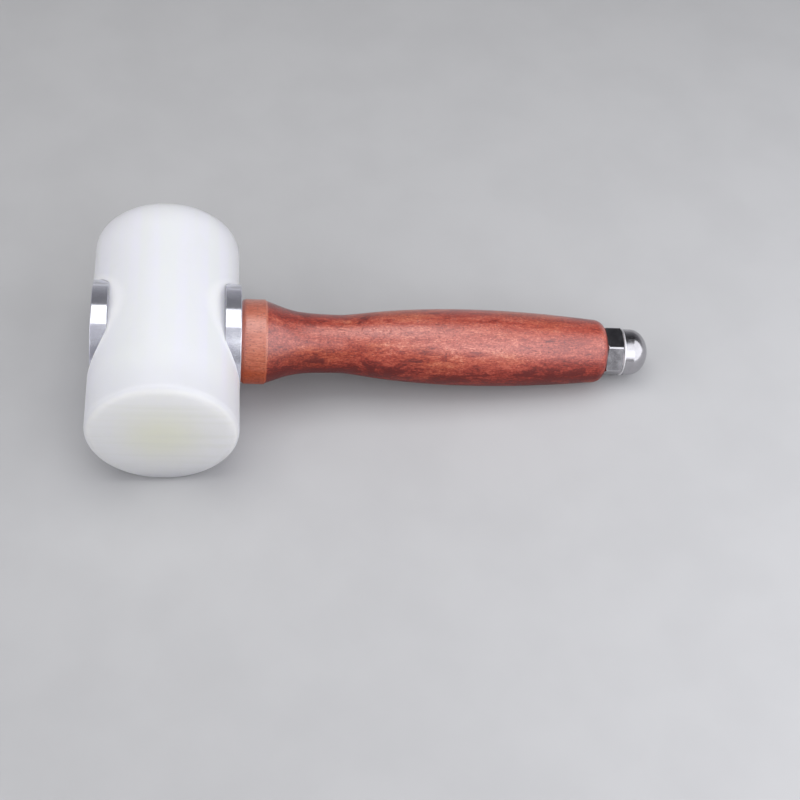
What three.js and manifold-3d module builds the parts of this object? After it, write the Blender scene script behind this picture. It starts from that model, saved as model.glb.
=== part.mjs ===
// Leather carving mallet with a nylon head and a turned hardwood handle.
// A long draw bolt runs through the head and the handle and ends in a cap nut, which clamps
// the head between two aluminium discs.
//
// Millimetres, +Z up. The mallet lies on its side: the head and the tail of the handle rest
// on z = 0, +X runs from the head to the tail and +Y along the head. Inside the group
// "mallet" the head's centre is the origin and the handle lies along +X.

import * as THREE from "three";
import { mergeVertices } from "three/addons/utils/BufferGeometryUtils.js";
import Module from "manifold-3d";

const wasm = await Module();
wasm.setup();

// Driving dimensions
const HEAD_DIAMETER = 55;
const HEAD_LENGTH = 90;
const DISC_DIAMETER = 42.5;
const DISC_THICKNESS = 5.7;
const HANDLE_LENGTH = 138.8;
const COLLAR_DIAMETER = 31.8;
const NECK_DIAMETER = 22;
const GRIP_DIAMETER = 29.1;
const TAIL_DIAMETER = 24.2;
const BOLT_DIAMETER = 10;
const NUT_ACROSS_FLATS = 17;

// Fits, the overrun of every cutter, and how near two points are when they count as one
const SEAT_GAP = 0.3;
const BOLT_CLEARANCE = 0.3;
const OVERRUN = 2;
const SAME_POINT = 0.0001;

// Head
const HEAD_EDGE_ROUND = 2;
const OUTER_SEAT_DEPTH = 7;
const HANDLE_SEAT_DEPTH = 5.8;

// Discs
const DISC_FACE_CHAMFER = 0.3;
const DISC_BACK_CHAMFER = 0.2;

// Handle. The places are shares of its length. Each curve's leads are shares of its own span,
// and a drop is the share of its lead by which the curve's control falls.
const COLLAR_LENGTH = 9;
const COLLAR_CHAMFER = 1.2;
const COLLAR_EDGE_ROUND = 0.4;
const TAIL_ROUND_LENGTH = 4.5;
const TAIL_ROUND_DEPTH = 3.8;
const neckPlaceShare = 0.266;
const gripPlaceShare = 0.633;
const shoulderShares = { leave: 0.33, drop: 0.345, arrive: 0.65 };
const riseShares = { leave: 0.13, arrive: 0.634 };
const fallShares = { leave: 0.43, drop: 0.09, arrive: 0.22 };

// Draw bolt
const BOLT_HEAD_DIAMETER = 20;
const BOLT_HEAD_RIM = 0.4;
const BOLT_HEAD_SINK = 0.2;
const SOCKET_ACROSS_FLATS = 6;
const SOCKET_DEPTH = 3.6;
const BOLT_IN_NUT = 9;
const BOLT_POINT_CHAMFER = 1;

// Cap nut
const NUT_HEX_LENGTH = 6.3;
const NUT_CAP_OVERHANG = 0.3;
const NUT_CAP_LENGTH = 3.8;
const NUT_DOME_LENGTH = 7;
const NUT_FACE_CHAMFER = 0.95;
const NUT_BORE_SPARE = 0.5;

// Steps round each turned piece and along its curves
const HEAD_STEPS = 96;
const DISC_STEPS = 72;
const HANDLE_STEPS = 56;
const BOLT_STEPS = 36;
const NUT_STEPS = 48;
const EDGE_STEPS = 4;
const CURVE_STEPS = 9;
const DOME_STEPS = 8;

// Places along the handle's axis, from the middle of the head, and radii there
const headRadius = HEAD_DIAMETER / 2;
const outerSeatX = OUTER_SEAT_DEPTH - headRadius;
const outerDiscX = outerSeatX - SEAT_GAP;
const outerFaceX = outerDiscX - DISC_THICKNESS;
const handleSeatX = headRadius - HANDLE_SEAT_DEPTH;
const handleDiscX = handleSeatX + SEAT_GAP;
const handleFaceX = handleDiscX + DISC_THICKNESS;
const handleStartX = handleFaceX + SEAT_GAP;
const handleEndX = handleStartX + HANDLE_LENGTH;
const nutStartX = handleEndX + SEAT_GAP;
const nutShoulderX = nutStartX + NUT_HEX_LENGTH;
const nutDomeX = nutShoulderX + NUT_CAP_LENGTH;
const boltHeadX = outerFaceX + BOLT_HEAD_SINK;
const boltTipX = nutStartX + BOLT_IN_NUT;
const nutCapRadius = NUT_ACROSS_FLATS / 2 + NUT_CAP_OVERHANG;

const nylon = new THREE.MeshStandardMaterial({ color: 0xe6e6ee, roughness: 0.45, metalness: 0 });
const aluminium = new THREE.MeshStandardMaterial({ color: 0xc4c6cb, roughness: 0.28, metalness: 1 });
const hardwood = new THREE.MeshStandardMaterial({ color: 0x8c4430, roughness: 0.42, metalness: 0 });
const steel = new THREE.MeshStandardMaterial({ color: 0x8b8d91, roughness: 0.35, metalness: 1 });
const chrome = new THREE.MeshStandardMaterial({ color: 0xb9babd, roughness: 0.12, metalness: 1 });

// A closed geometry as a manifold solid.
function toSolid(geometry) {
  const bare = geometry.clone();
  bare.deleteAttribute("normal");
  bare.deleteAttribute("uv");
  const merged = mergeVertices(bare, SAME_POINT);
  const mesh = new wasm.Mesh({
    numProp: 3,
    vertProperties: merged.attributes.position.array,
    triVerts: new Uint32Array(merged.index.array),
  });
  return new wasm.Manifold(mesh);
}

// A manifold solid as a named mesh.
function toMesh(name, solid, material) {
  const { vertProperties, triVerts } = solid.getMesh();
  const geometry = new THREE.BufferGeometry();
  geometry.setAttribute("position", new THREE.BufferAttribute(vertProperties, 3));
  geometry.setIndex(new THREE.BufferAttribute(triVerts, 1));
  const faceted = geometry.toNonIndexed();
  faceted.computeVertexNormals();
  const mesh = new THREE.Mesh(faceted, material);
  mesh.name = name;
  return mesh;
}

// The points of curves in turn, each given with its steps. Ends that don't meet are joined by
// a straight line.
function trace(stretches) {
  const points = [];
  for (const [curve, steps] of stretches) {
    const stretch = curve.getPoints(steps);
    if (points.length && points.at(-1).distanceTo(stretch[0]) < SAME_POINT) {
      stretch.shift();
    }
    points.push(...stretch);
  }
  return points;
}

function line(from, to) {
  return [new THREE.LineCurve(from, to), 1];
}

// A quarter round of an outline with its own depth and length, which starts at an angle
// counted in quarter turns.
function quarter(centre, depth, length, startQuarter, steps) {
  const start = (startQuarter * Math.PI) / 2;
  const end = start + Math.PI / 2;
  return [new THREE.EllipseCurve(centre.x, centre.y, depth, length, start, end), steps];
}

// A point of a turned outline: its radius and its place along the axis.
function at(radius, place) {
  return new THREE.Vector2(radius, place);
}

// An outline turned about the handle's axis.
function turnedAlongX(profile, steps) {
  return toSolid(new THREE.LatheGeometry(profile, steps).rotateZ(-Math.PI / 2));
}

// A regular hexagonal bar on the handle's axis, with a flat facing down.
function hexagonBar(acrossFlats, fromX, toX) {
  const cornerRadius = acrossFlats / Math.sqrt(3);
  const corners = Array.from({ length: 6 }, (_, k) => {
    const angle = ((k + 0.5) * Math.PI) / 3;
    return new THREE.Vector2(Math.cos(angle), Math.sin(angle)).multiplyScalar(cornerRadius);
  });
  const bar = new THREE.ExtrudeGeometry(new THREE.Shape(corners), {
    depth: toX - fromX,
    bevelEnabled: false,
  });
  return toSolid(bar.rotateY(Math.PI / 2).translate(fromX, 0, 0));
}

// The outline of the bolt's rim, countersunk cone and shank up to a chosen place, grown by a
// clearance.
function boltOutline(clearance, headX, shankEndX) {
  const rimRadius = BOLT_HEAD_DIAMETER / 2 + clearance;
  const shankRadius = BOLT_DIAMETER / 2 + clearance;
  const coneX = boltHeadX + BOLT_HEAD_RIM + clearance;
  const shankX = coneX + (BOLT_HEAD_DIAMETER - BOLT_DIAMETER) / 2;
  return [
    at(0, headX),
    at(rimRadius, headX),
    at(rimRadius, coneX),
    at(shankRadius, shankX),
    at(shankRadius, shankEndX),
  ];
}

// The room that the bolt needs in each piece that it passes through.
function boltPassage() {
  const endX = handleEndX + OVERRUN;
  const outline = boltOutline(BOLT_CLEARANCE, outerFaceX - OVERRUN, endX);
  return turnedAlongX([...outline, at(0, endX)], BOLT_STEPS);
}

// A round seat for a disc, cut into the head's side between two places.
function seatCutter(fromX, toX) {
  const radius = DISC_DIAMETER / 2 + SEAT_GAP;
  const profile = [at(0, fromX), at(radius, fromX), at(radius, toX), at(0, toX)];
  return turnedAlongX(profile, DISC_STEPS);
}

function makeHead() {
  const half = HEAD_LENGTH / 2;
  const flatRadius = headRadius - HEAD_EDGE_ROUND;
  const edgePlace = half - HEAD_EDGE_ROUND;
  const profile = trace([
    line(at(0, -half), at(flatRadius, -half)),
    quarter(at(flatRadius, -edgePlace), HEAD_EDGE_ROUND, HEAD_EDGE_ROUND, -1, EDGE_STEPS),
    quarter(at(flatRadius, edgePlace), HEAD_EDGE_ROUND, HEAD_EDGE_ROUND, 0, EDGE_STEPS),
    line(at(flatRadius, half), at(0, half)),
  ]);
  const bar = toSolid(new THREE.LatheGeometry(profile, HEAD_STEPS));
  const outerSeat = seatCutter(-headRadius - OVERRUN, outerSeatX);
  const handleSeat = seatCutter(handleSeatX, headRadius + OVERRUN);
  const seated = bar.subtract(outerSeat).subtract(handleSeat);
  return toMesh("head", seated.subtract(boltPassage()), nylon);
}

// A disc that starts at a place along the handle's axis, with a chamfer of its own at each end.
function makeDisc(name, fromX, fromChamfer, toChamfer) {
  const radius = DISC_DIAMETER / 2;
  const toX = fromX + DISC_THICKNESS;
  const profile = [
    at(0, fromX),
    at(radius - fromChamfer, fromX),
    at(radius, fromX + fromChamfer),
    at(radius, toX - toChamfer),
    at(radius - toChamfer, toX),
    at(0, toX),
  ];
  const disc = turnedAlongX(profile, DISC_STEPS).subtract(boltPassage());
  return toMesh(name, disc, aluminium);
}

// The handle's outline from the collar to the tail: a straight collar, a shoulder that falls
// to the neck, a long rise to the grip and a gentle fall to the rounded tail.
function handleOutline() {
  const collarRadius = COLLAR_DIAMETER / 2;
  const neckRadius = NECK_DIAMETER / 2;
  const gripRadius = GRIP_DIAMETER / 2;
  const tailRadius = TAIL_DIAMETER / 2;
  const collarEndX = handleStartX + COLLAR_LENGTH;
  const neckX = handleStartX + HANDLE_LENGTH * neckPlaceShare;
  const gripX = handleStartX + HANDLE_LENGTH * gripPlaceShare;
  const tailX = handleEndX - TAIL_ROUND_LENGTH;
  const endRadius = tailRadius - TAIL_ROUND_DEPTH;

  const collarEdge = at(collarRadius - COLLAR_EDGE_ROUND, collarEndX - COLLAR_EDGE_ROUND);
  const shoulderStart = at(collarRadius - COLLAR_EDGE_ROUND, collarEndX);
  const neck = at(neckRadius, neckX);
  const grip = at(gripRadius, gripX);
  const tail = at(tailRadius, tailX);
  const shoulderSpan = neckX - collarEndX;
  const riseSpan = gripX - neckX;
  const fallSpan = tailX - gripX;

  const shoulderLead = shoulderSpan * shoulderShares.leave;
  const shoulder = new THREE.CubicBezierCurve(
    shoulderStart,
    at(shoulderStart.x - shoulderLead * shoulderShares.drop, collarEndX + shoulderLead),
    at(neckRadius, neckX - shoulderSpan * shoulderShares.arrive),
    neck,
  );
  const rise = new THREE.CubicBezierCurve(
    neck,
    at(neckRadius, neckX + riseSpan * riseShares.leave),
    at(gripRadius, gripX - riseSpan * riseShares.arrive),
    grip,
  );
  const fallLead = fallSpan * fallShares.arrive;
  const fall = new THREE.CubicBezierCurve(
    grip,
    at(gripRadius, gripX + fallSpan * fallShares.leave),
    at(tailRadius + fallLead * fallShares.drop, tailX - fallLead),
    tail,
  );
  return trace([
    line(at(0, handleStartX), at(collarRadius - COLLAR_CHAMFER, handleStartX)),
    line(at(collarRadius, handleStartX + COLLAR_CHAMFER), at(collarRadius, collarEdge.y)),
    quarter(collarEdge, COLLAR_EDGE_ROUND, COLLAR_EDGE_ROUND, 0, EDGE_STEPS / 2),
    [shoulder, CURVE_STEPS],
    [rise, CURVE_STEPS],
    [fall, CURVE_STEPS],
    quarter(at(endRadius, tailX), TAIL_ROUND_DEPTH, TAIL_ROUND_LENGTH, 0, EDGE_STEPS),
    line(at(endRadius, handleEndX), at(0, handleEndX)),
  ]);
}

function makeHandle() {
  const turned = turnedAlongX(handleOutline(), HANDLE_STEPS);
  return toMesh("handle", turned.subtract(boltPassage()), hardwood);
}

function makeDrawBolt() {
  const shankRadius = BOLT_DIAMETER / 2;
  const outline = [
    ...boltOutline(0, boltHeadX, boltTipX - BOLT_POINT_CHAMFER),
    at(shankRadius - BOLT_POINT_CHAMFER, boltTipX),
    at(0, boltTipX),
  ];
  const socket = hexagonBar(SOCKET_ACROSS_FLATS, boltHeadX - OVERRUN, boltHeadX + SOCKET_DEPTH);
  return toMesh("draw_bolt", turnedAlongX(outline, BOLT_STEPS).subtract(socket), steel);
}

// The nut's turned envelope. The face against the handle is chamfered at 30 degrees, and so is
// the hexagon's other end, which falls from its corners to the round cap. The cap stands a
// little proud of the hexagon's flats and ends in a dome that is flatter than a half sphere.
function nutEnvelope() {
  const cornerRadius = NUT_ACROSS_FLATS / Math.sqrt(3);
  const faceRadius = cornerRadius - NUT_FACE_CHAMFER * Math.sqrt(3);
  const cornerEndX = nutShoulderX - (cornerRadius - nutCapRadius) / Math.sqrt(3);
  return trace([
    line(at(0, nutStartX), at(faceRadius, nutStartX)),
    line(at(cornerRadius, nutStartX + NUT_FACE_CHAMFER), at(cornerRadius, cornerEndX)),
    line(at(nutCapRadius, nutShoulderX), at(nutCapRadius, nutDomeX)),
    quarter(at(0, nutDomeX), nutCapRadius, NUT_DOME_LENGTH, 0, DOME_STEPS),
  ]);
}

// What is cut away to leave the hexagon, from the nut's face to the cap.
function flatsCutter() {
  const radius = NUT_ACROSS_FLATS / Math.sqrt(3) + OVERRUN;
  const fromX = nutStartX - OVERRUN;
  const profile = [at(0, fromX), at(radius, fromX), at(radius, nutShoulderX), at(0, nutShoulderX)];
  const hexagon = hexagonBar(NUT_ACROSS_FLATS, fromX - OVERRUN, nutShoulderX + OVERRUN);
  return turnedAlongX(profile, NUT_STEPS).subtract(hexagon);
}

// The nut's blind hole, a little deeper than the bolt reaches, with the cone that a 120 degree
// drill leaves at its end.
function nutBore() {
  const boreRadius = BOLT_DIAMETER / 2 + BOLT_CLEARANCE;
  const mouthX = nutStartX - OVERRUN;
  const wallEndX = boltTipX + NUT_BORE_SPARE;
  const pointX = wallEndX + boreRadius / Math.sqrt(3);
  const profile = [at(0, mouthX), at(boreRadius, mouthX), at(boreRadius, wallEndX), at(0, pointX)];
  return turnedAlongX(profile, BOLT_STEPS);
}

function makeCapNut() {
  const capped = turnedAlongX(nutEnvelope(), NUT_STEPS).subtract(flatsCutter());
  return toMesh("cap_nut", capped.subtract(nutBore()), chrome);
}

// The angle that brings the tail down to the surface that the head lies on. Each point of the
// outline that is further out than the head's side would touch at an angle of its own, and
// the mallet comes to rest at the smallest of them.
function restAngle() {
  const angles = [...handleOutline(), at(nutCapRadius, nutDomeX)]
    .filter((point) => point.length() > headRadius)
    .map((point) => Math.asin(headRadius / point.length()) - Math.atan2(point.x, point.y));
  return Math.min(...angles);
}

const mallet = new THREE.Group();
mallet.name = "mallet";
mallet.add(
  makeHead(),
  makeDisc("outer_disc", outerFaceX, DISC_FACE_CHAMFER, DISC_BACK_CHAMFER),
  makeDisc("handle_disc", handleDiscX, DISC_BACK_CHAMFER, DISC_FACE_CHAMFER),
  makeHandle(),
  makeDrawBolt(),
  makeCapNut(),
);
mallet.rotation.y = restAngle();

// The origin is under the middle of the mallet as it lies.
const box = new THREE.Box3().setFromObject(mallet, true);
mallet.position.set(-(box.min.x + box.max.x) / 2, -(box.min.y + box.max.y) / 2, -box.min.z);

const part = new THREE.Group();
part.add(mallet);

export default part;
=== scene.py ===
"""A leather carving mallet: a nylon head between two aluminium discs, a turned hardwood handle,
and the steel bolt and chromed cap nut that draw them together.

Every piece is built in the tool's own axes and then placed by one matrix. X runs along the
handle from the head's centre, Y along the head, and Z up from the handle. Lengths are metres."""

import math

import bmesh
import bpy
from mathutils import Matrix, Vector


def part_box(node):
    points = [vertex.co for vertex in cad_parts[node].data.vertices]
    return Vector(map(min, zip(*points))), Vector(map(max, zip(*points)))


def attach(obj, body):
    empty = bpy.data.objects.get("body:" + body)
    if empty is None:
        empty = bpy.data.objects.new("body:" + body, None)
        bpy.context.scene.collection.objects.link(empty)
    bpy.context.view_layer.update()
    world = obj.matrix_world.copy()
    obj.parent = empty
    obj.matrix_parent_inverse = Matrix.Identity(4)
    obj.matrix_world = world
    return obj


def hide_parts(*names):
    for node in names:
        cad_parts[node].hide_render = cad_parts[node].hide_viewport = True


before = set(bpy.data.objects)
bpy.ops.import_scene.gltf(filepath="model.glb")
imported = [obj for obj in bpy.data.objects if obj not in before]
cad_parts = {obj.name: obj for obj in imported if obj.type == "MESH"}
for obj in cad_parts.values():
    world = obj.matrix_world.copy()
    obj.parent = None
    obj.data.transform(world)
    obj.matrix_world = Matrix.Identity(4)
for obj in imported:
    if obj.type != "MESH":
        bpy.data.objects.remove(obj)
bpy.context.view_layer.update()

MM = 0.001

# Camera, as the photograph was taken

CAMERA_LENS = 70.35
CAMERA_SENSOR = 36.0
CAMERA_AZIMUTH = math.radians(-5.575)
CAMERA_ELEVATION = math.radians(52.759)
CAMERA_ROLL = math.radians(2.451)
CAMERA_DISTANCE = 566.9 * MM
CAMERA_AIM = Vector((85.47, -32.17, 0)) * MM

# Shapes finer than the frame's

SURFACE_INSET = 0.03 * MM
FACE_GAP = 0.04 * MM
RIM_GAP = 0.05 * MM
EDGE_SUPPORT = 0.12 * MM
SAME_PLACE = 0.01 * MM
WELD_DISTANCE = 0.0002 * MM
HEAD_EDGE_ROUND = 3 * MM
SEAT_EDGE_ROUND = 0.15 * MM
DISC_CHAMFER = 0.3 * MM
DISC_BACK_CHAMFER = 0.15 * MM
DISC_EDGE_ROUND = 0.08 * MM
WOOD_EDGE_ROUND = 0.35 * MM
COLLAR_EDGE_ROUND = 0.4 * MM
TAIL_ROUND_LENGTH = 4.5 * MM
STEEL_EDGE_ROUND = 0.15 * MM
SOCKET_ACROSS_FLATS = 6 * MM
SOCKET_DEPTH = 3.6 * MM
SOCKET_POINT_DEPTH = 1.2 * MM
SOCKET_FLOOR_SHARE = 0.96
SOCKET_CHAMFER = 3 * STEEL_EDGE_ROUND
BOLT_NECK_SUPPORT = 2 * MM
THREAD_PITCH = 1.5 * MM
THREAD_LENGTH = 26 * MM
THREAD_DEPTH_SHARE = 0.6
NUT_HEX_LENGTH = 6.3 * MM
NUT_FACE_CHAMFER = 0.35 * MM
NUT_END_ROUND = 0.1 * MM
NUT_BEAD_HEIGHT = 0.22 * MM
NUT_BEAD_WIDTH = 0.65 * MM
NUT_BEAD_CREST_SHARE = 0.3
NUT_CORNER_ROUND = 0.8 * MM
NUT_EDGE_ROUND = 0.15 * MM
NUT_MOUTH_CHAMFER = 0.35 * MM
NUT_BORE_SPARE = 0.4 * MM
CHAMFER_SLOPE = math.tan(math.radians(30))

# How finely the meshes are divided

HEAD_COLUMNS = 192
HEAD_ROWS = 96
SEAT_COLUMNS = 24
SEAT_ROWS = 28
SEAT_RINGS = 8
SEAT_RING_CROWDING = 1.3
SEAT_ROUND_STEPS = 4
SEAT_WALL_POINTS = 5
END_RINGS = 14
ROUND_STEPS = 8
EDGE_STEPS = 3
CURVE_STEPS = 40
DISC_COLUMNS = 192
FACE_RINGS = 12
WIDE_FACE = 2 * MM
HANDLE_COLUMNS = 160
HANDLE_BORE_ROWS = 24
BOLT_COLUMNS = 96
THREAD_ROWS = 8
CORNER_STEPS = 4
FLAT_COLUMNS = 12
DOME_STEPS = 32

SHARP_ANGLE = math.radians(38)


# The tool's axes and sizes, read from the frame

def cad_points(node):
    """The vertices of a CAD node in the row frame."""
    return [vertex.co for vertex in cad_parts[node].data.vertices]


head_low, head_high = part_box("head")
head_centre = (head_low + head_high) / 2
dome_tip = max(cad_points("cap_nut"), key=lambda point: (point - head_centre).length)
handle_axis = (dome_tip - head_centre).normalized()
head_axis = Vector((0, 1, 0))
tool = Matrix((handle_axis, head_axis, handle_axis.cross(head_axis))).transposed().to_4x4()
tool.translation = head_centre
to_tool = tool.inverted()


def tool_points(node):
    """The vertices of a CAD node in the tool's axes."""
    return [to_tool @ point for point in cad_points(node)]


def outline(node):
    """The outer line of a turned CAD node, as (place, radius) pairs in order along the handle."""
    micron = 1e-6
    widest = {}
    for x, y, z in tool_points(node):
        place = round(x / micron) * micron
        widest[place] = max(widest.get(place, 0), math.hypot(y, z))
    return sorted(widest.items())


def span(node):
    """Where a CAD node starts and ends along the handle."""
    places = [point.x for point in tool_points(node)]
    return min(places), max(places)


def axis_radius(point):
    """A point's distance from the handle's axis."""
    return math.hypot(point.y, point.z)


head_radius = max(math.hypot(point.x, point.z) for point in tool_points("head")) - SURFACE_INSET
head_half_length = (head_high.y - head_low.y) / 2 - SURFACE_INSET
head_straight = head_half_length - HEAD_EDGE_ROUND
passage_radius = min(axis_radius(point) for point in tool_points("head"))
bolt_start, bolt_end = span("draw_bolt")
handle_end = span("handle")[1]
disc_radius = max(axis_radius(point) for point in tool_points("handle_disc"))
disc_faces = {-1: -span("outer_disc")[0], 1: span("handle_disc")[1]}
seat_floors = [p.x for p in tool_points("head") if axis_radius(p) < passage_radius + SAME_PLACE]
seat_places = {-1: -min(seat_floors), 1: max(seat_floors)}
seat_radius = disc_radius + RIM_GAP


# Mesh building

def link_object(name, data):
    """A new object of this data, linked to the scene."""
    made = bpy.data.objects.new(name, data)
    bpy.context.scene.collection.objects.link(made)
    return made


def piece(name, node, slot, material, vertices, faces):
    """One finished piece, moved from the tool's axes to the row frame, that stands for a CAD node."""
    mesh = bpy.data.meshes.new(name)
    mesh.from_pydata(vertices, [], faces)
    shape = bmesh.new()
    shape.from_mesh(mesh)
    bmesh.ops.remove_doubles(shape, verts=shape.verts, dist=WELD_DISTANCE)
    bmesh.ops.dissolve_degenerate(shape, edges=shape.edges, dist=WELD_DISTANCE)
    bmesh.ops.recalc_face_normals(shape, faces=shape.faces)
    shape.to_mesh(mesh)
    shape.free()
    mesh.transform(tool)
    mesh.shade_smooth()
    mesh.set_sharp_from_angle(angle=SHARP_ANGLE)
    mesh.materials.append(material)
    made = link_object(name, mesh)
    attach(made, "root")
    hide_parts(node)
    return made


def even_angles(count):
    """Angles evenly round a circle."""
    return [2 * math.pi * step / count for step in range(count)]


def turned(column, angles, ring=False):
    """Vertices and faces of a body turned round the handle's axis.

    column(angle) gives the (place, radius) points of its outline, as many at each angle. A ring
    has a hole through it, so its outline closes on itself."""
    vertices = []
    faces = []
    columns = [column(angle) for angle in angles]
    count = len(columns[0])
    for angle, points in zip(angles, columns):
        for place, radius in points:
            vertices.append((place, radius * math.cos(angle), radius * math.sin(angle)))
    for here in range(len(angles)):
        there = (here + 1) % len(angles)
        for row in range(count if ring else count - 1):
            after = (row + 1) % count
            faces.append((here * count + row, here * count + after,
                          there * count + after, there * count + row))
    return vertices, faces


def blend_points(start, end, share):
    """The point at a share of the way between two points."""
    return tuple(a + (b - a) * share for a, b in zip(start, end))


def bezier(points, share):
    """The point at a share of the way along a Bezier curve of any number of controls."""
    while len(points) > 1:
        points = [blend_points(a, b, share) for a, b in zip(points, points[1:])]
    return points[0]


def curve(points, steps):
    """A Bezier curve as points, its first control left out."""
    return [bezier(points, step / steps) for step in range(1, steps + 1)]


def quarter(start, end, top, base, steps=ROUND_STEPS):
    """A quarter of an ellipse as (place, radius) points, from the radius top at the place start to
    the radius base at the place end."""
    turns = [math.pi / 2 * step / steps for step in range(steps + 1)]
    return [(start + (end - start) * math.sin(turn), base + (top - base) * math.cos(turn))
            for turn in turns]


def soften(points, reach):
    """An outline with each corner between its ends rounded, and a row of support beside it."""
    most_share = 0.3
    most_support = 1.5
    least_length = MM / 1000
    soft = [points[0]]
    for before, corner, after in zip(points, points[1:], points[2:]):
        ends = []
        supports = []
        for other in (before, after):
            length = max(math.dist(corner, other), least_length)
            share = min(reach / length, most_share)
            support_share = min(share + EDGE_SUPPORT / length, most_support * share)
            ends.append(blend_points(corner, other, share))
            supports.append(blend_points(corner, other, support_share))
        soft += [supports[0], ends[0], *curve([ends[0], corner, ends[1]], EDGE_STEPS), supports[1]]
    return soft + [points[-1]]


# Head

class Surface:
    """Vertices and faces of a mesh in the making."""

    def __init__(self):
        self.vertices = []
        self.faces = []

    def add(self, x, y, z):
        self.vertices.append((x, y, z))
        return len(self.vertices) - 1

    def grow(self, ring, points):
        """A ring of new vertices at these points, joined by faces to the ring before it."""
        made = [self.add(*point) for point in points]
        self.join(ring, made)
        return made

    def join(self, ring, other):
        for here in range(len(ring)):
            there = (here + 1) % len(ring)
            self.faces.append((ring[here], ring[there], other[there], other[here]))


SEAT_CENTRES = {1: 0, -1: HEAD_COLUMNS // 2}
MIDDLE_ROW = HEAD_ROWS // 2


def steps_off(column, centre):
    """How many columns round the head a column lies from a seat's centre, with its sign."""
    return (column - centre + HEAD_COLUMNS // 2) % HEAD_COLUMNS - HEAD_COLUMNS // 2


def head_side(surface):
    """The head's round side, open over the seats. Gives each vertex by its column and row."""
    grid = {}
    for column, angle in enumerate(even_angles(HEAD_COLUMNS)):
        beside = min(abs(steps_off(column, centre)) for centre in SEAT_CENTRES.values())
        for row in range(HEAD_ROWS + 1):
            if beside >= SEAT_COLUMNS or abs(row - MIDDLE_ROW) >= SEAT_ROWS:
                y = head_straight * (row / MIDDLE_ROW - 1)
                vertex = surface.add(head_radius * math.cos(angle), y, head_radius * math.sin(angle))
                grid[column, row] = vertex
    for column in range(HEAD_COLUMNS):
        after = (column + 1) % HEAD_COLUMNS
        over_seat = any(-SEAT_COLUMNS <= steps_off(column, centre) < SEAT_COLUMNS
                        for centre in SEAT_CENTRES.values())
        for row in range(HEAD_ROWS):
            if not (over_seat and -SEAT_ROWS <= row - MIDDLE_ROW < SEAT_ROWS):
                corners = [(column, row), (after, row), (after, row + 1), (column, row + 1)]
                surface.faces.append(tuple(grid[corner] for corner in corners))
    return grid


def seat_edge(angle, floor):
    """The edge of a seat at an angle round the handle's axis: its distance from that axis, and
    how far from the head's centre the head's round side stands there."""
    least_rise = 0.001
    flat_reach = math.sqrt(head_radius ** 2 - floor ** 2)
    rise = abs(math.sin(angle))
    distance = min(seat_radius, flat_reach / max(rise, least_rise))
    return distance, math.sqrt(head_radius ** 2 - (distance * rise) ** 2)


def seat_section(angle, floor):
    """A seat's section at an angle, from the head's round side in to the seat's floor, as
    (distance from the handle's axis, place along it) points. Where the seat is open at the front
    and the back it has no wall, and as many points lie on its floor."""
    least_wall = SEAT_EDGE_ROUND / 10
    most_reach_share = 1 / 3
    support_share = 1 / 6
    distance, top = seat_edge(angle, floor)
    height = top - floor
    slope = math.atan2(distance * math.sin(angle) ** 2, top)
    walled = height > least_wall
    inside_angle = math.pi / 2 - slope if walled else math.pi - slope
    reach = SEAT_EDGE_ROUND / math.tan(inside_angle / 2)

    def on_side(beyond):
        out = distance + beyond
        return out, math.sqrt(head_radius ** 2 - (out * math.sin(angle)) ** 2)

    if walled:
        reach = min(reach, height * most_reach_share)
        down = top - reach
        support = (down - floor) * support_share
        inner = [(distance, down), (distance, down - support), (distance, floor + support),
                 (distance, floor), (distance - EDGE_SUPPORT, floor)]
    else:
        inner = [(distance - reach - EDGE_SUPPORT * step, floor) for step in range(SEAT_WALL_POINTS)]
    outer = on_side(reach)
    rounding = curve([outer, (distance, top), inner[0]], SEAT_ROUND_STEPS)
    return [on_side(reach + 2 * EDGE_SUPPORT), outer, *rounding, *inner[1:]]


def seat_border(surface, grid, centre):
    """The vertices round a seat's opening, as (angle round the handle's axis, vertex) pairs."""
    border = []
    for (column, row), vertex in grid.items():
        across = abs(steps_off(column, centre)) - SEAT_COLUMNS
        along = abs(row - MIDDLE_ROW) - SEAT_ROWS
        if max(across, along) == 0:
            y, z = surface.vertices[vertex][1:]
            border.append((math.atan2(z, y), vertex))
    return sorted(border)


def seat_angles(angles, floor):
    """The border's angles, with the nearest one moved to each place where the seat's wall ends."""
    wall_end = math.asin(math.sqrt(head_radius ** 2 - floor ** 2) / seat_radius)
    moved = list(angles)
    for corner in (wall_end, math.pi - wall_end, -wall_end, wall_end - math.pi):
        nearest = min(range(len(angles)), key=lambda k: abs(angles[k] - corner))
        moved[nearest] = corner
    return moved


def round_axis(radius, angle):
    """The (y, z) point at a radius and an angle round the handle's axis."""
    return radius * math.cos(angle), radius * math.sin(angle)


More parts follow.
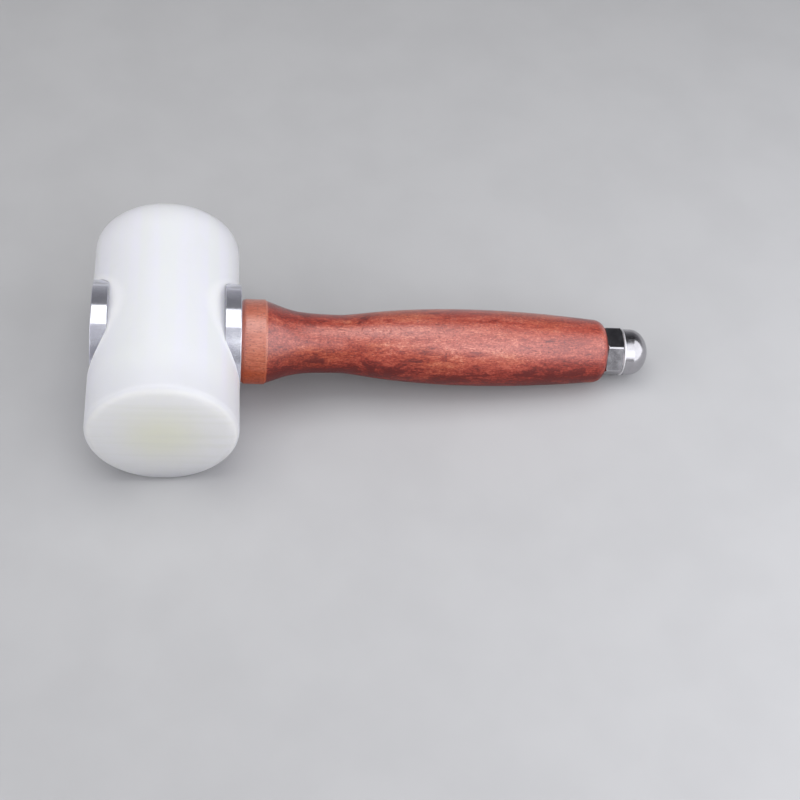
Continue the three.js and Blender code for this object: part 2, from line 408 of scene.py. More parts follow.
def cut_seat(surface, grid, side, centre):
    """A seat, from the head's round side in to the mouth of the bolt's passage. Gives the ring of
    vertices round that mouth."""
    floor = seat_places[side]
    border = seat_border(surface, grid, centre)
    angles = [angle for angle, vertex in border]
    ring = [vertex for angle, vertex in border]
    edge_angles = seat_angles(angles, floor)
    sections = [seat_section(angle, floor) for angle in edge_angles]
    starts = [surface.vertices[vertex] for vertex in ring]
    rows = []
    for step in range(1, SEAT_RINGS):
        share = 1 - (1 - step / SEAT_RINGS) ** SEAT_RING_CROWDING
        flat = [blend_points(start[1:], round_axis(section[0][0], angle), share)
                for start, section, angle in zip(starts, sections, edge_angles)]
        rows.append([(side * math.sqrt(head_radius ** 2 - z ** 2), y, z) for y, z in flat])
    for level in range(len(sections[0])):
        rows.append([(side * section[level][1], *round_axis(section[level][0], angle))
                     for section, angle in zip(sections, edge_angles)])
    floor_edge = rows[-1]
    mouth = [(side * floor, *round_axis(passage_radius, angle)) for angle in angles]
    for step in range(1, SEAT_RINGS + 1):
        rows.append([blend_points(start, end, step / SEAT_RINGS)
                     for start, end in zip(floor_edge, mouth)])
    for points in rows:
        ring = surface.grow(ring, points)
    return ring


def head_end(surface, ring, end):
    """One end of the head, -1 or 1, from the ring where its edge starts to round."""
    flat_radius = head_radius - HEAD_EDGE_ROUND
    levels = quarter(head_straight, head_half_length, head_radius, flat_radius)[1:]
    for step in range(END_RINGS):
        levels.append((head_half_length, (flat_radius - EDGE_SUPPORT) * (1 - step / END_RINGS)))
    for y, radius in levels:
        ring = surface.grow(ring, [(radius * math.cos(angle), end * y, radius * math.sin(angle))
                                   for angle in even_angles(HEAD_COLUMNS)])
    middle = surface.add(0, end * head_half_length, 0)
    for here in range(HEAD_COLUMNS):
        surface.faces.append((ring[here], ring[(here + 1) % HEAD_COLUMNS], middle))


def head_mesh():
    """The nylon head: a rod with rounded ends, a seat cut into each side, and the bolt's passage."""
    surface = Surface()
    grid = head_side(surface)
    mouths = [cut_seat(surface, grid, side, centre) for side, centre in SEAT_CENTRES.items()]
    surface.join(*mouths)
    for end, row in ((-1, 0), (1, HEAD_ROWS)):
        head_end(surface, [grid[column, row] for column in range(HEAD_COLUMNS)], end)
    return surface.vertices, surface.faces


# Discs

def disc_mesh(side):
    """A turned disc seated in the head, chamfered at its face and edged at its back. The one on
    the outer side, -1, is countersunk for the bolt."""
    face = disc_faces[side]
    back = seat_places[side] + FACE_GAP
    bolt_head, cone_start = outline("draw_bolt")[:2]
    mouth = bolt_head[1] + RIM_GAP if side < 0 else passage_radius + DISC_BACK_CHAMFER
    cone = -cone_start[0] if side < 0 else face
    narrow = max(cone - (mouth - passage_radius), back + FACE_GAP / 2)
    rim = [
        (back, passage_radius), (back, disc_radius - DISC_BACK_CHAMFER),
        (back + DISC_BACK_CHAMFER, disc_radius), (face - DISC_CHAMFER, disc_radius),
        (face, disc_radius - DISC_CHAMFER), (face, mouth), (cone, mouth),
        (narrow, passage_radius), (back, passage_radius),
    ]
    points = []
    for start, end in zip(rim, rim[1:]):
        pieces = FACE_RINGS if abs(start[1] - end[1]) > WIDE_FACE else 1
        points += [blend_points(start, end, step / pieces) for step in range(pieces)]
    points = soften([*points, points[0]], DISC_EDGE_ROUND)
    points = [(side * out, radius) for out, radius in points]
    return turned(lambda angle: points, even_angles(DISC_COLUMNS), ring=True)


# Handle

def sweep(start, end, leave_share, arrive_share, leave_slope=0.0, arrive_slope=0.0):
    """A smooth stretch of outline between two (place, radius) points. A share says how far along
    it the direction at its start or end holds, and a slope how steeply the radius falls there."""
    leave = (end[0] - start[0]) * leave_share
    arrive = (end[0] - start[0]) * arrive_share
    leaving = (start[0] + leave, start[1] - leave * leave_slope)
    arriving = (end[0] - arrive, end[1] + arrive * arrive_slope)
    return curve([start, leaving, arriving, end], CURVE_STEPS)


def handle_mesh():
    """The turned handle: a chamfered collar, a waisted neck, a full grip and a rounded tail."""
    line = [(place, radius - SURFACE_INSET) for place, radius in outline("handle")]
    bore = min(axis_radius(point) for point in tool_points("handle"))
    start = disc_faces[1] + FACE_GAP
    start_radius = line[0][1]
    end, end_radius = line[-1]
    collar = max(radius for place, radius in line)
    level = [place for place, radius in line if collar - radius < SAME_PLACE]
    level_start, level_end = min(level), max(level)
    shoulder = (level_end + COLLAR_EDGE_ROUND, collar - COLLAR_EDGE_ROUND)
    neck_stretch = [pair for pair in line if level_end < pair[0] < (start + end) / 2]
    neck = min(neck_stretch, key=lambda pair: pair[1])
    grip = max((pair for pair in line if pair[0] > neck[0]), key=lambda pair: pair[1])
    tail = min(line, key=lambda pair: abs(pair[0] - (end - TAIL_ROUND_LENGTH)))

    points = soften([(start, (bore + start_radius) / 2), (start, start_radius),
                     (level_start, collar), ((level_start + level_end) / 2, collar)], WOOD_EDGE_ROUND)
    points.append((level_end - EDGE_SUPPORT, collar))
    points += quarter(level_end, shoulder[0], collar, shoulder[1])
    points += sweep(shoulder, neck, leave_share=0.33, arrive_share=0.65, leave_slope=0.345)
    points += sweep(neck, grip, leave_share=0.13, arrive_share=0.634)
    points += sweep(grip, tail, leave_share=0.43, arrive_share=0.22, arrive_slope=0.09)
    points += quarter(tail[0], end, tail[1], end_radius, steps=2 * ROUND_STEPS)[1:]
    points.append((end, (end_radius + bore) / 2))
    points += [(end + (start - end) * step / HANDLE_BORE_ROWS, bore)
               for step in range(HANDLE_BORE_ROWS + 1)]
    return turned(lambda angle: points, even_angles(HANDLE_COLUMNS), ring=True)


# Hexagon sections

SIXTH_TURN = math.pi / 3


def hexagon_radius(angle, across_flats, corner_round):
    """A hexagon's radius at an angle, with its corners at 0, 60, 120 degrees and on, rounded."""
    half_turn = SIXTH_TURN / 2
    off = abs((angle + half_turn) % SIXTH_TURN - half_turn)
    apothem = across_flats / 2
    centre = (apothem - corner_round) / math.cos(half_turn)
    tangent = math.atan2(corner_round * math.sin(half_turn), centre + corner_round * math.cos(half_turn))
    if off < tangent:
        return centre * math.cos(off) + math.sqrt(corner_round ** 2 - (centre * math.sin(off)) ** 2)
    return apothem / math.cos(half_turn - off)


def hexagon_angles(across_flats, corner_round):
    """Angles round a hexagon, close together at its corners."""
    fine = corner_round / across_flats / 2
    edge = fine * CORNER_STEPS
    offsets = [fine * step for step in range(-CORNER_STEPS, CORNER_STEPS + 1)]
    offsets += [edge + (SIXTH_TURN - 2 * edge) * step / FLAT_COLUMNS for step in range(1, FLAT_COLUMNS)]
    angles = [corner * SIXTH_TURN + offset for corner in range(6) for offset in offsets]
    return sorted(angle % (2 * math.pi) for angle in angles)


# Bolt and nut

def thread_depth_share(phase_share):
    """How deep a thread is at a share of its pitch: 0 on its flat crest, 1 in its flat root."""
    flank_slope = 2.4
    crest_flat = 0.1
    return max(0, min(1, flank_slope * abs(phase_share - 0.5) - crest_flat))


def bolt_mesh():
    """The draw bolt: a countersunk head with a hexagon socket, a plain shank and a thread."""
    line = outline("draw_bolt")
    tip_start, shank = line[-2]
    head_points = [pair for pair in line if pair[0] < (bolt_start + bolt_end) / 2]
    neck = (head_points[-1][0] + BOLT_NECK_SUPPORT, shank)
    floor = bolt_start + SOCKET_DEPTH
    floor_radius = SOCKET_ACROSS_FLATS / 2 * SOCKET_FLOOR_SHARE
    thread_start = tip_start - THREAD_LENGTH
    thread_depth = THREAD_PITCH * THREAD_DEPTH_SHARE
    thread_rows = int(THREAD_LENGTH / THREAD_PITCH) * THREAD_ROWS

    def column(angle):
        hexagon = hexagon_radius(angle, SOCKET_ACROSS_FLATS, STEEL_EDGE_ROUND)
        socket = [(floor, floor_radius), (floor, hexagon), (bolt_start + SOCKET_CHAMFER, hexagon),
                  (bolt_start, hexagon + SOCKET_CHAMFER)]
        points = [(floor + SOCKET_POINT_DEPTH, 0)]
        points += soften([*socket, *head_points, neck], STEEL_EDGE_ROUND)
        for row in range(thread_rows + 1):
            place = thread_start + row * THREAD_PITCH / THREAD_ROWS
            phase_share = (place / THREAD_PITCH + angle / (2 * math.pi)) % 1
            fade_share = min(1, (place - thread_start) / THREAD_PITCH)
            depth = thread_depth * thread_depth_share(phase_share) * fade_share
            points.append((place, shank - depth))
        points += [(tip_start, shank - thread_depth), line[-1], (bolt_end, 0)]
        return points

    return turned(column, even_angles(BOLT_COLUMNS))


def nut_mesh():
    """The cap nut: a hexagon chamfered at both ends, and a round cap, a little proud of the
    hexagon's flats, that starts with a bevelled bead and ends in a flat dome."""
    line = outline("cap_nut")
    start = handle_end + FACE_GAP
    tip = line[-1][0] - SURFACE_INSET
    shoulder = line[0][0] + NUT_HEX_LENGTH
    end = shoulder - NUT_END_ROUND
    corner = max(radius for place, radius in line)
    across_flats = 2 * corner * math.cos(SIXTH_TURN / 2)
    face_radius = corner - NUT_FACE_CHAMFER / CHAMFER_SLOPE
    cap_radius = max(radius for place, radius in line if place > shoulder + NUT_END_ROUND)
    dome_start = max(place for place, radius in line if radius > cap_radius - SAME_PLACE)
    groove_radius = across_flats / 2 - NUT_END_ROUND
    bead_radius = cap_radius + NUT_BEAD_HEIGHT
    bead_end = shoulder + NUT_BEAD_WIDTH
    bead_bevel = NUT_BEAD_WIDTH * (1 - NUT_BEAD_CREST_SHARE) / 2
    bore = passage_radius
    bore_end = bolt_end + NUT_BORE_SPARE

    def column(angle):
        hexagon = hexagon_radius(angle, across_flats, NUT_CORNER_ROUND)
        face_cut = max(hexagon - face_radius, 0) * CHAMFER_SLOPE
        end_cut = max(hexagon - cap_radius, 0) * CHAMFER_SLOPE
        face = min(face_radius, hexagon - NUT_EDGE_ROUND)
        points = [(bore_end + bore * CHAMFER_SLOPE, 0), (bore_end, bore)]
        points += soften([(start + NUT_MOUTH_CHAMFER, bore), (start, bore + NUT_MOUTH_CHAMFER),
                          (start, face), (start + face_cut + NUT_EDGE_ROUND / 2, hexagon),
                          ((start + end) / 2, hexagon)], NUT_EDGE_ROUND)
        points += [(end - end_cut - NUT_EDGE_ROUND, hexagon), (end - end_cut, hexagon)]
        points += quarter(end, shoulder, min(hexagon, cap_radius), groove_radius)
        points += soften([(shoulder, groove_radius), (shoulder + bead_bevel, bead_radius),
                          (bead_end - bead_bevel, bead_radius), (bead_end, cap_radius),
                          (dome_start - EDGE_SUPPORT, cap_radius)], NUT_EDGE_ROUND / 2)
        points += quarter(dome_start, tip, cap_radius, 0, steps=DOME_STEPS)
        return points

    return turned(column, hexagon_angles(across_flats, NUT_CORNER_ROUND))


# Node graphs

class Graph:
    """The nodes of a material or a world, each added and linked by one call."""

    def __init__(self, owner):
        owner.use_nodes = True
        self.owner = owner
        self.tree = owner.node_tree
        self.tree.nodes.clear()

    def add(self, kind, sockets=None, **settings):
        made = self.tree.nodes.new("ShaderNode" + kind)
        for name, value in settings.items():
            setattr(made, name, value)
        for name, value in (sockets or {}).items():
            if isinstance(value, bpy.types.NodeSocket):
                self.tree.links.new(value, made.inputs[name])
            else:
                made.inputs[name].default_value = value
        return made

    def math(self, operation, first, second=0.0, clamp=False):
        return self.add("Math", {0: first, 1: second}, operation=operation, use_clamp=clamp).outputs[0]

    def plus(self, first, second):
        return self.math("ADD", first, second)

    def minus(self, first, second):
        return self.math("SUBTRACT", first, second)

    def times(self, first, second):
        return self.math("MULTIPLY", first, second)

    def vector(self, x, y=0.0, z=0.0):
        return self.add("CombineXYZ", {0: x, 1: y, 2: z}).outputs[0]

    def parts(self, vector):
        """A vector's x, y and z."""
        return self.add("SeparateXYZ", {0: vector}).outputs

    def length(self, first, second):
        """The length of a vector with these two parts."""
        return self.add("VectorMath", {0: self.vector(first, second)}, operation="LENGTH").outputs["Value"]

    def place(self):
        """A point's place in the tool's axes."""
        here = self.add("TexCoord").outputs["Object"]
        sockets = {"Vector": here, "Location": tool.translation, "Rotation": tool.to_euler()}
        return self.add("Mapping", sockets, vector_type="TEXTURE").outputs[0]

    def scaled(self, vector, size):
        """The vector in units of a size along x, y and z."""
        scale = tuple(1 / length for length in size)
        return self.add("Mapping", {"Vector": vector, "Scale": scale}).outputs[0]

    def noise(self, vector, size, detail=3.0, roughness=0.5, distortion=0.0):
        """Noise whose blotches have this size along x, y and z."""
        sockets = {"Vector": self.scaled(vector, size), "Scale": 1.0, "Detail": detail,
                   "Roughness": roughness, "Distortion": distortion}
        return self.add("TexNoise", sockets).outputs[0]

    def spread(self, value, low, high, to_low=0.0, to_high=1.0):
        """A value's stretch from low to high eased into the stretch from to_low to to_high."""
        sockets = {"Value": value, "From Min": low, "From Max": high, "To Min": to_low, "To Max": to_high}
        return self.add("MapRange", sockets, interpolation_type="SMOOTHSTEP").outputs[0]

    def mix(self, share, first, second, blend="MIX"):
        made = self.add("Mix", {0: share, 6: first, 7: second}, data_type="RGBA", blend_type=blend)
        return made.outputs[2]

    def layered(self, colour, *layers):
        """A colour with (share, colour) layers mixed in, one over the other."""
        for share, layer in layers:
            colour = self.mix(share, colour, layer)
        return colour

    def ramp(self, value, stops):
        made = self.add("ValToRGB", {0: value})
        elements = made.color_ramp.elements
        while len(elements) < len(stops):
            elements.new(0.5)
        for element, (position, colour) in zip(elements, stops):
            element.position = position
            element.color = colour
        return made.outputs[0]

    def bump(self, height, distance, strength):
        return self.add("Bump", {"Height": height, "Distance": distance, "Strength": strength}).outputs[0]

    def seen_share(self):
        """1 for a ray that shows a thing, straight or in a gloss or a glass, and 0 for other rays."""
        rays = self.add("LightPath").outputs
        seen = self.plus(rays["Is Camera Ray"], rays["Is Glossy Ray"])
        return self.math("ADD", seen, rays["Is Transmission Ray"], clamp=True)

    def finish(self, sockets):
        """The material, with one shader that has these sockets."""
        shader = self.add("BsdfPrincipled", sockets)
        self.add("OutputMaterial", {"Surface": shader.outputs[0]})
        return self.owner


def material_graph(name):
    return Graph(bpy.data.materials.new(name))


def rgb(red, green, blue):
    return red, green, blue, 1.0


# Materials

def nylon_colour(graph, place, end_share):
    """Lavender white in faint lengthwise bands, paler beside the seats as painted light and a little
    greyer near the front end as painted shade. The turned end faces are painted whiter as painted
    light, with a warm streaky core painted in as the yellow light that shows through the nylon."""
    lavender = rgb(0.84, 0.84, 0.91)
    cool_white = rgb(0.83, 0.845, 0.86)
    clouded = rgb(0.80, 0.81, 0.82)
    # Painted light: paler beside the seats, where shade falls next to the discs.
    painted_seat_light = rgb(0.93, 0.93, 0.96)
    # Painted shade: greyer near the front end.
    painted_front_shade = rgb(0.72, 0.725, 0.77)
    # Painted light: the end faces whiter than the side.
    painted_end_light = rgb(0.95, 0.95, 0.95)
    # Painted light: a warm core and streaks on the end faces, standing for the yellow light that shows
    # through the nylon.
    painted_warm_light = rgb(0.93, 0.94, 0.76)
    painted_warm_light_streak = rgb(0.82, 0.83, 0.76)

    x, y, z = graph.parts(place)
    from_seat = graph.minus(graph.length(y, z), disc_radius)
    bands = graph.noise(place, (8 * MM, 160 * MM, 8 * MM), detail=2.0)
    clouds = graph.noise(place, (14 * MM, 22 * MM, 14 * MM), detail=4.0, roughness=0.6)
    streaks = graph.noise(place, (60 * MM, 60 * MM, 2.6 * MM), detail=2.0)
    seat_painted_light_share = graph.spread(from_seat, 3 * MM, 0.3 * MM, 0.0, 0.7)
    front_shade_share = graph.spread(y, 20 * MM - head_half_length, 2 * MM - head_half_length, 0.0, 0.8)
    middle_share = graph.spread(graph.length(x, z), 25 * MM, 2 * MM)
    warm_light_share = graph.times(graph.times(middle_share, end_share), 0.8)
    warm_light_streak_share = graph.times(graph.spread(streaks, 0.4, 0.7, 0.0, 0.3), end_share)
    return graph.layered(
        graph.mix(graph.spread(bands, 0.35, 0.65), lavender, cool_white),
        (graph.spread(clouds, 0.45, 0.8, 0.0, 0.4), clouded),
        (seat_painted_light_share, painted_seat_light),
        (front_shade_share, painted_front_shade),
        (end_share, painted_end_light),
        (warm_light_share, painted_warm_light),
        (warm_light_streak_share, painted_warm_light_streak),
    )


def nylon():
    """Milky cast nylon that light enters, far deeper near its ends than between the seats. It has
    turned end faces, fine lines along its side and a few scuffs."""
    graph = material_graph("nylon")
    place = graph.place()
    x, y, z = graph.parts(place)
    from_middle = graph.math("ABSOLUTE", y)
    end_share = graph.spread(from_middle, head_half_length - 1.6 * MM, head_half_length - 0.2 * MM)
    side_share = graph.minus(1.0, end_share)
    turning = graph.noise(graph.vector(graph.length(x, z)), (0.5 * MM, MM, MM), detail=2.0)
    lines = graph.noise(place, (0.35 * MM, 30 * MM, 0.35 * MM), detail=2.0)
    fine = graph.plus(graph.times(turning, end_share), graph.times(lines, side_share))
    scuffs = graph.noise(place, (5 * MM, 5 * MM, 5 * MM), detail=6.0, roughness=0.7)
    shallow, deep = 0.25 * MM, 26 * MM
    light_depth = graph.spread(from_middle, disc_radius + MM, head_half_length - 6 * MM, shallow, deep)
    return graph.finish({
        "Base Color": nylon_colour(graph, place, end_share), "IOR": 1.53,
        "Roughness": graph.spread(scuffs, 0.3, 0.8, 0.42, 0.55),
        "Normal": graph.bump(fine, 0.01 * MM, 0.25),
        "Subsurface Weight": 0.9, "Subsurface Radius": (1.0, 1.0, 0.9), "Subsurface Scale": light_depth,
    })


def turned_aluminium():
    """Bright aluminium under a thin milky film of oxide, with the fine rings that the lathe tool
    leaves, which draw a reflection out across them, and small dull specks."""
    graph = material_graph("turned_aluminium")
    place = graph.place()
    x, y, z = graph.parts(place)
    across = graph.vector(x, graph.length(y, z))
    rings = graph.noise(across, (0.12 * MM, 0.12 * MM, MM), detail=4.0, roughness=0.7)
    specks = graph.noise(place, (0.7 * MM, 0.7 * MM, 0.7 * MM), detail=4.0, roughness=0.7)
    clouds = graph.noise(place, (5 * MM, 5 * MM, 5 * MM), detail=3.0)
    grey, bright, dull = rgb(0.66, 0.66, 0.75), rgb(0.77, 0.78, 0.85), rgb(0.52, 0.52, 0.58)
    colour = graph.mix(graph.spread(clouds, 0.3, 0.7), grey, bright)
    colour = graph.mix(graph.spread(specks, 0.45, 0.7, 0.0, 0.5), colour, dull)
    around = graph.add("Tangent", direction_type="RADIAL", axis="X").outputs[0]
    return graph.finish({
        "Base Color": colour, "Metallic": 0.8, "Roughness": graph.spread(specks, 0.3, 0.8, 0.17, 0.26),
        "Anisotropic": 0.9, "Anisotropic Rotation": 0.25, "Tangent": around,
        "Normal": graph.bump(rings, 0.004 * MM, 0.4),
    })


def end_of_collar():
    """Where the collar's wood gives way to the neck's: just past the last wide part of the handle."""
    wide_share = 0.7
    wide = [place for place, radius in outline("handle") if radius > disc_radius * wide_share]
    return max(wide) + COLLAR_EDGE_ROUND


def late_wood(graph, place):
    """The dark late wood of the growth rings, as a share. It darkens slowly and ends sharply."""
    pith_y, pith_z = -34 * MM, 26 * MM
    ring_step = 5.5 * MM
    warp_in_rings = 2.4
    y, z = graph.parts(place)[1:]
    warp = graph.noise(place, (30 * MM, 8 * MM, 8 * MM))
    from_pith = graph.length(graph.minus(y, pith_y), graph.minus(z, pith_z))
    rings = graph.plus(graph.math("DIVIDE", from_pith, ring_step), graph.times(warp, warp_in_rings))
    ring_share = graph.math("FRACT", rings)
    return graph.times(graph.spread(ring_share, 0.35, 0.9), graph.spread(ring_share, 1.0, 0.94))


def wood_tone(graph, place, collar_share, clouds, mottle, fibre):
    """How light the wood is, from 0 to 1. It is mottled and streaked, and darker in flames and in the late
    wood. Painted shade makes it darker low on the handle, towards the collar, at the tail and along the
    back, and painted light makes the collar lighter."""
    x, y, z = graph.parts(place)
    collar_end = end_of_collar()
    handle_share = graph.minus(1.0, collar_share)
    # Painted shade: darker, with more flames, low on the handle.
    low_painted_shade_share = graph.times(graph.spread(z, 11 * MM, -3 * MM), handle_share)
    # Painted shade: darker on the neck towards the collar.
    neck_painted_shade_share = graph.times(graph.spread(x, collar_end + 60 * MM, collar_end + MM), handle_share)
    patches = graph.noise(place, (7 * MM, 2.4 * MM, 2.4 * MM), detail=4.0, roughness=0.65)
    flames = graph.noise(place, (15 * MM, 5 * MM, 5 * MM), detail=4.0, roughness=0.65, distortion=0.9)
    flames = graph.plus(flames, graph.times(low_painted_shade_share, 0.11))
    lighter = [
        graph.spread(patches, 0.3, 0.7, 0.5, 0.77),
        graph.spread(mottle, 0.25, 0.75, -0.3, 0.3),
        graph.spread(fibre, 0.25, 0.75, -0.16, 0.16),
        # Painted light: the collar lighter.
        graph.times(collar_share, 0.08),
    ]
    darker = [
        graph.spread(flames, 0.56, 0.7, 0.0, 0.38),
        graph.times(low_painted_shade_share, 0.36),
        graph.times(neck_painted_shade_share, 0.2),
        # Painted shade: darker at the tail.
        graph.spread(x, handle_end - 50 * MM, handle_end - 10 * MM, 0.0, 0.1),
        # Painted shade: darker along the back.
        graph.spread(y, MM, 6 * MM, 0.0, 0.2),
        graph.times(late_wood(graph, place), 0.08),
    ]
    tone = graph.spread(clouds, 0.3, 0.7, -0.08, 0.08)
    for part in lighter:
        tone = graph.plus(tone, part)
    for part in darker:
        tone = graph.minus(tone, part)
    return tone


def collar_wood(graph, place):
    """The collar's plainer wood with its short grain, painted paler above as painted light and more orange
    and darker low down as painted shade.
    """
    # Painted light and shade: paler above, darker and more orange low down.
    painted_top_light_share = graph.spread(graph.parts(place)[2], -2 * MM, 12 * MM)
    light = graph.mix(painted_top_light_share, rgb(0.55, 0.10, 0.018), rgb(0.70, 0.23, 0.14))
    dark = graph.mix(painted_top_light_share, rgb(0.28, 0.03, 0.005), rgb(0.42, 0.09, 0.045))
    grain = graph.noise(place, (2.2 * MM, 0.16 * MM, 0.3 * MM), roughness=0.6)
    return graph.mix(graph.spread(grain, 0.4, 0.66), light, dark)


def pores(graph, place):
    """Short open pores along the grain, as a share: one in the middle of about half the cells."""
    cell_place = graph.scaled(place, (1.3 * MM, 0.5 * MM, 0.5 * MM))
    cells = graph.add("TexVoronoi", {"Vector": cell_place, "Scale": 1.0, "Randomness": 1.0}).outputs
    middle_share = graph.spread(cells["Distance"], 0.36, 0.16)
    kept_share = graph.spread(graph.parts(cells["Color"])[0], 0.45, 0.6)
    return graph.times(middle_share, kept_share)


def hardwood():
    """Oiled red-brown hardwood with grown rings, darker patches, a fine mottle and short pores,
    and the lathe's fine marks on the collar. Its oil is thinner low on the handle."""
    graph = material_graph("hardwood")
    place = graph.place()
    x, _, z = graph.parts(place)
    collar_end = end_of_collar()
    collar_share = graph.spread(x, collar_end + 0.2 * MM, collar_end - 0.2 * MM)
    clouds = graph.noise(place, (40 * MM, 13 * MM, 13 * MM), detail=2.0)
    mottle = graph.noise(place, (1.1 * MM, 0.6 * MM, 0.6 * MM), detail=4.0, roughness=0.75)
    fibre = graph.noise(place, (3.2 * MM, 0.22 * MM, 0.22 * MM), roughness=0.6)
    pore_share = pores(graph, place)

    browns = [
        (0.0, rgb(0.14, 0.009, 0.006)), (0.25, rgb(0.27, 0.025, 0.014)), (0.5, rgb(0.43, 0.06, 0.034)),
        (0.75, rgb(0.57, 0.13, 0.078)), (1.0, rgb(0.74, 0.27, 0.19)),
    ]
    orange_cast = rgb(1.0, 1.3, 0.75)
    pore_brown = rgb(0.10, 0.008, 0.008)
    colour = graph.ramp(wood_tone(graph, place, collar_share, clouds, mottle, fibre), browns)
    orange = graph.mix(1.0, colour, orange_cast, "MULTIPLY")
    orange_share = graph.times(graph.spread(clouds, 0.5, 0.72), 0.5)
    colour = graph.layered(
        colour,
        (orange_share, orange),
        (graph.times(collar_share, 0.72), collar_wood(graph, place)),
        (graph.times(pore_share, 0.65), pore_brown),
    )

    turning = graph.noise(graph.vector(x), (0.28 * MM, MM, MM), detail=2.0)
    height = graph.minus(graph.plus(graph.times(fibre, 0.4), mottle), pore_share)
    height = graph.plus(height, graph.times(graph.times(turning, collar_share), 0.5))
    normal = graph.bump(height, 0.09 * MM, 0.6)
    roughness = graph.plus(graph.spread(mottle, 0.3, 0.7, 0.36, 0.5), graph.times(pore_share, 0.2))
    oil_share = graph.spread(z, -MM, 15 * MM, 0.0, 0.95)
    return graph.finish({
        "Base Color": colour, "Roughness": roughness, "Normal": normal, "Specular IOR Level": 0.35,
        "Coat Weight": oil_share, "Coat Roughness": 0.3, "Coat IOR": 1.9, "Coat Normal": normal,
    })


def chrome():
    """Polished bright nut with hairline scratches, faint handling haze and a satin bead, made paler as a
    painted highlight.
    """
    graph = material_graph("chrome")
    place = graph.place()
    haze = graph.noise(place, (3 * MM, 3 * MM, 3 * MM), detail=5.0, roughness=0.65)
    scratches = graph.noise(place, (3 * MM, 0.1 * MM, 0.1 * MM), detail=2.0)
    bead_middle = outline("cap_nut")[0][0] + NUT_HEX_LENGTH + NUT_BEAD_WIDTH / 2
    off_bead = graph.math("ABSOLUTE", graph.minus(graph.parts(place)[0], bead_middle))
    bead_share = graph.spread(off_bead, 0.6 * NUT_BEAD_WIDTH, 0.4 * NUT_BEAD_WIDTH)
    # Painted highlight: the satin bead is made near white.
    dark, light, satin = rgb(0.43, 0.42, 0.44), rgb(0.49, 0.48, 0.50), rgb(0.95, 0.95, 0.96)
    colour = graph.mix(graph.spread(haze, 0.3, 0.7), dark, light)
    colour = graph.mix(bead_share, colour, satin)
    roughness = graph.plus(graph.spread(haze, 0.35, 0.75, 0.16, 0.24), graph.times(bead_share, 0.35))
    return graph.finish({
        "Base Color": colour, "Metallic": 1.0, "Roughness": roughness,
        "Normal": graph.bump(scratches, 0.002 * MM, 0.3),
    })


def zinc_steel():
    """Zinc plated steel bolt, satin, a little uneven in tone."""
    graph = material_graph("zinc_steel")
    place = graph.place()
    clouds = graph.noise(place, (2.5 * MM, 2.5 * MM, 2.5 * MM), detail=5.0, roughness=0.65)
    grain = graph.noise(place, (0.2 * MM, 0.2 * MM, 0.2 * MM), detail=3.0)
    colour = graph.mix(graph.spread(clouds, 0.3, 0.7), rgb(0.50, 0.51, 0.53), rgb(0.62, 0.62, 0.62))
    return graph.finish({
        "Base Color": colour, "Metallic": 1.0, "Roughness": graph.spread(clouds, 0.3, 0.75, 0.25, 0.4),
        "Normal": graph.bump(grain, 0.005 * MM, 0.3),
    })


def floor_paint():
    """The plain pale floor. It looks pale, also in the metal, and throws less light back up."""
    graph = material_graph("floor_paint")
    grain = graph.noise(graph.place(), (30 * MM, 30 * MM, 30 * MM), detail=3.0)
    pale = graph.mix(graph.spread(grain, 0.3, 0.7), rgb(0.51, 0.51, 0.52), rgb(0.53, 0.53, 0.54))
    dim = rgb(0.36, 0.36, 0.37)
    colour = graph.mix(graph.seen_share(), dim, pale)
    return graph.finish({"Base Color": colour, "Roughness": 0.8, "Specular IOR Level": 0.2})


# Studio

def direction(azimuth, elevation):
    """A unit vector: azimuth from -Y towards +X, elevation up from the floor."""
    level = math.cos(elevation)
    return Vector((math.sin(azimuth) * level, -math.cos(azimuth) * level, math.sin(elevation)))


def studio_floor():
    """A plain square floor under the mallet."""
    half_side = 0.65
    cells = 4
    across = cells + 1
    step = 2 * half_side / cells
    places = [step * line - half_side for line in range(across)]
    vertices = [(x, y, 0) for y in places for x in places]
    corners = [j * across + i for j in range(cells) for i in range(cells)]
    faces = [(corner, corner + 1, corner + across + 1, corner + across) for corner in corners]
    mesh = bpy.data.meshes.new("studio_floor")
    mesh.from_pydata(vertices, [], faces)
    mesh.materials.append(floor_paint())
    link_object("studio_floor", mesh)


def softbox(name, aim, azimuth, elevation, distance, width, depth, radiance, colour=(1, 1, 1)):
    """A rectangular lamp that faces a point. Its azimuth and elevation are in degrees."""
    data = bpy.data.lights.new(name, "AREA")
    data.shape = "RECTANGLE"
    data.size = width
    data.size_y = depth
    data.energy = radiance * math.pi * width * depth
    data.color = colour
    lamp = link_object(name, data)
    lamp.visible_camera = False
    toward = direction(math.radians(azimuth), math.radians(elevation))
    lamp.location = aim + toward * distance
    lamp.rotation_euler = toward.to_track_quat("Z", "Y").to_euler()


def studio_lamps():
    """A softbox over the head, one at the right of the nut, a tall dim one at the front right and
    a wide low one at the left."""
    over_head = Vector((-0.095, 0, head_centre.z))
    nut_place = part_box("cap_nut")[0]
    softbox("overhead_softbox", over_head, azimuth=180, elevation=82.6, distance=0.62,
            width=0.63, depth=0.434, radiance=2.22)
    softbox("right_softbox", nut_place, azimuth=60, elevation=38, distance=0.36,
            width=0.62, depth=0.5, radiance=1.8, colour=(0.95, 0.96, 1.0))
    softbox("front_softbox", head_centre, azimuth=25, elevation=51, distance=0.8,
            width=0.45, depth=1.0, radiance=0.72, colour=(0.97, 0.98, 1.0))
    softbox("left_softbox", head_centre, azimuth=-68, elevation=30, distance=0.8,
            width=1.2, depth=0.6, radiance=1.5, colour=(0.97, 0.97, 1.0))


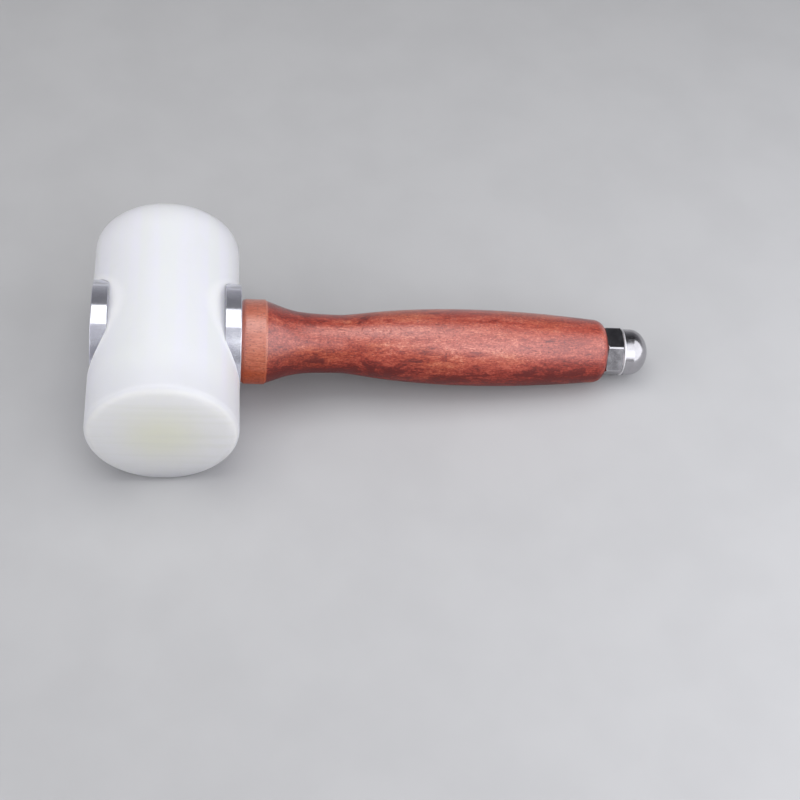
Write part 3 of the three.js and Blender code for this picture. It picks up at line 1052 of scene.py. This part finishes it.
def surroundings():
    """Dim even light from all round. Where they are seen, the surroundings are pale at the
    horizon and darker with height."""
    world = bpy.data.worlds.new("studio")
    bpy.context.scene.world = world
    graph = Graph(world)
    height = graph.parts(graph.add("TexCoord").outputs["Generated"])[2]
    shades = graph.ramp(height, [
        (0.02, rgb(0.62, 0.62, 0.63)), (0.12, rgb(0.28, 0.28, 0.30)), (0.7, rgb(0.04, 0.04, 0.045)),
    ])
    shown = graph.add("Background", {"Color": shades}).outputs[0]
    light = graph.add("Background", {"Color": rgb(1, 1, 1), "Strength": 0.12}).outputs[0]
    either = graph.add("MixShader", {0: graph.seen_share(), 1: light, 2: shown}).outputs[0]
    graph.add("OutputWorld", {"Surface": either})


def camera():
    """The camera at the photograph's viewing angle."""
    data = bpy.data.cameras.new("camera")
    data.sensor_width = CAMERA_SENSOR
    data.lens = CAMERA_LENS
    view = link_object("camera", data)
    backward = direction(CAMERA_AZIMUTH, CAMERA_ELEVATION)
    level_right = Vector((math.cos(CAMERA_AZIMUTH), math.sin(CAMERA_AZIMUTH), 0))
    level_up = backward.cross(level_right)
    right = level_right * math.cos(CAMERA_ROLL) + level_up * math.sin(CAMERA_ROLL)
    up = backward.cross(right)
    placed = Matrix((right, up, backward)).transposed().to_4x4()
    placed.translation = head_centre + CAMERA_AIM + backward * CAMERA_DISTANCE
    view.matrix_world = placed
    bpy.context.scene.camera = view


camera()
studio_floor()
studio_lamps()
surroundings()
bpy.context.scene.view_settings.view_transform = "Standard"

aluminium = turned_aluminium()
piece("nylon_head", "head", "nylon", nylon(), *head_mesh())
piece("outer_aluminium_disc", "outer_disc", "aluminium", aluminium, *disc_mesh(-1))
piece("handle_aluminium_disc", "handle_disc", "aluminium", aluminium, *disc_mesh(1))
piece("turned_handle", "handle", "hardwood", hardwood(), *handle_mesh())
piece("countersunk_draw_bolt", "draw_bolt", "steel", zinc_steel(), *bolt_mesh())
piece("domed_cap_nut", "cap_nut", "chrome", chrome(), *nut_mesh())
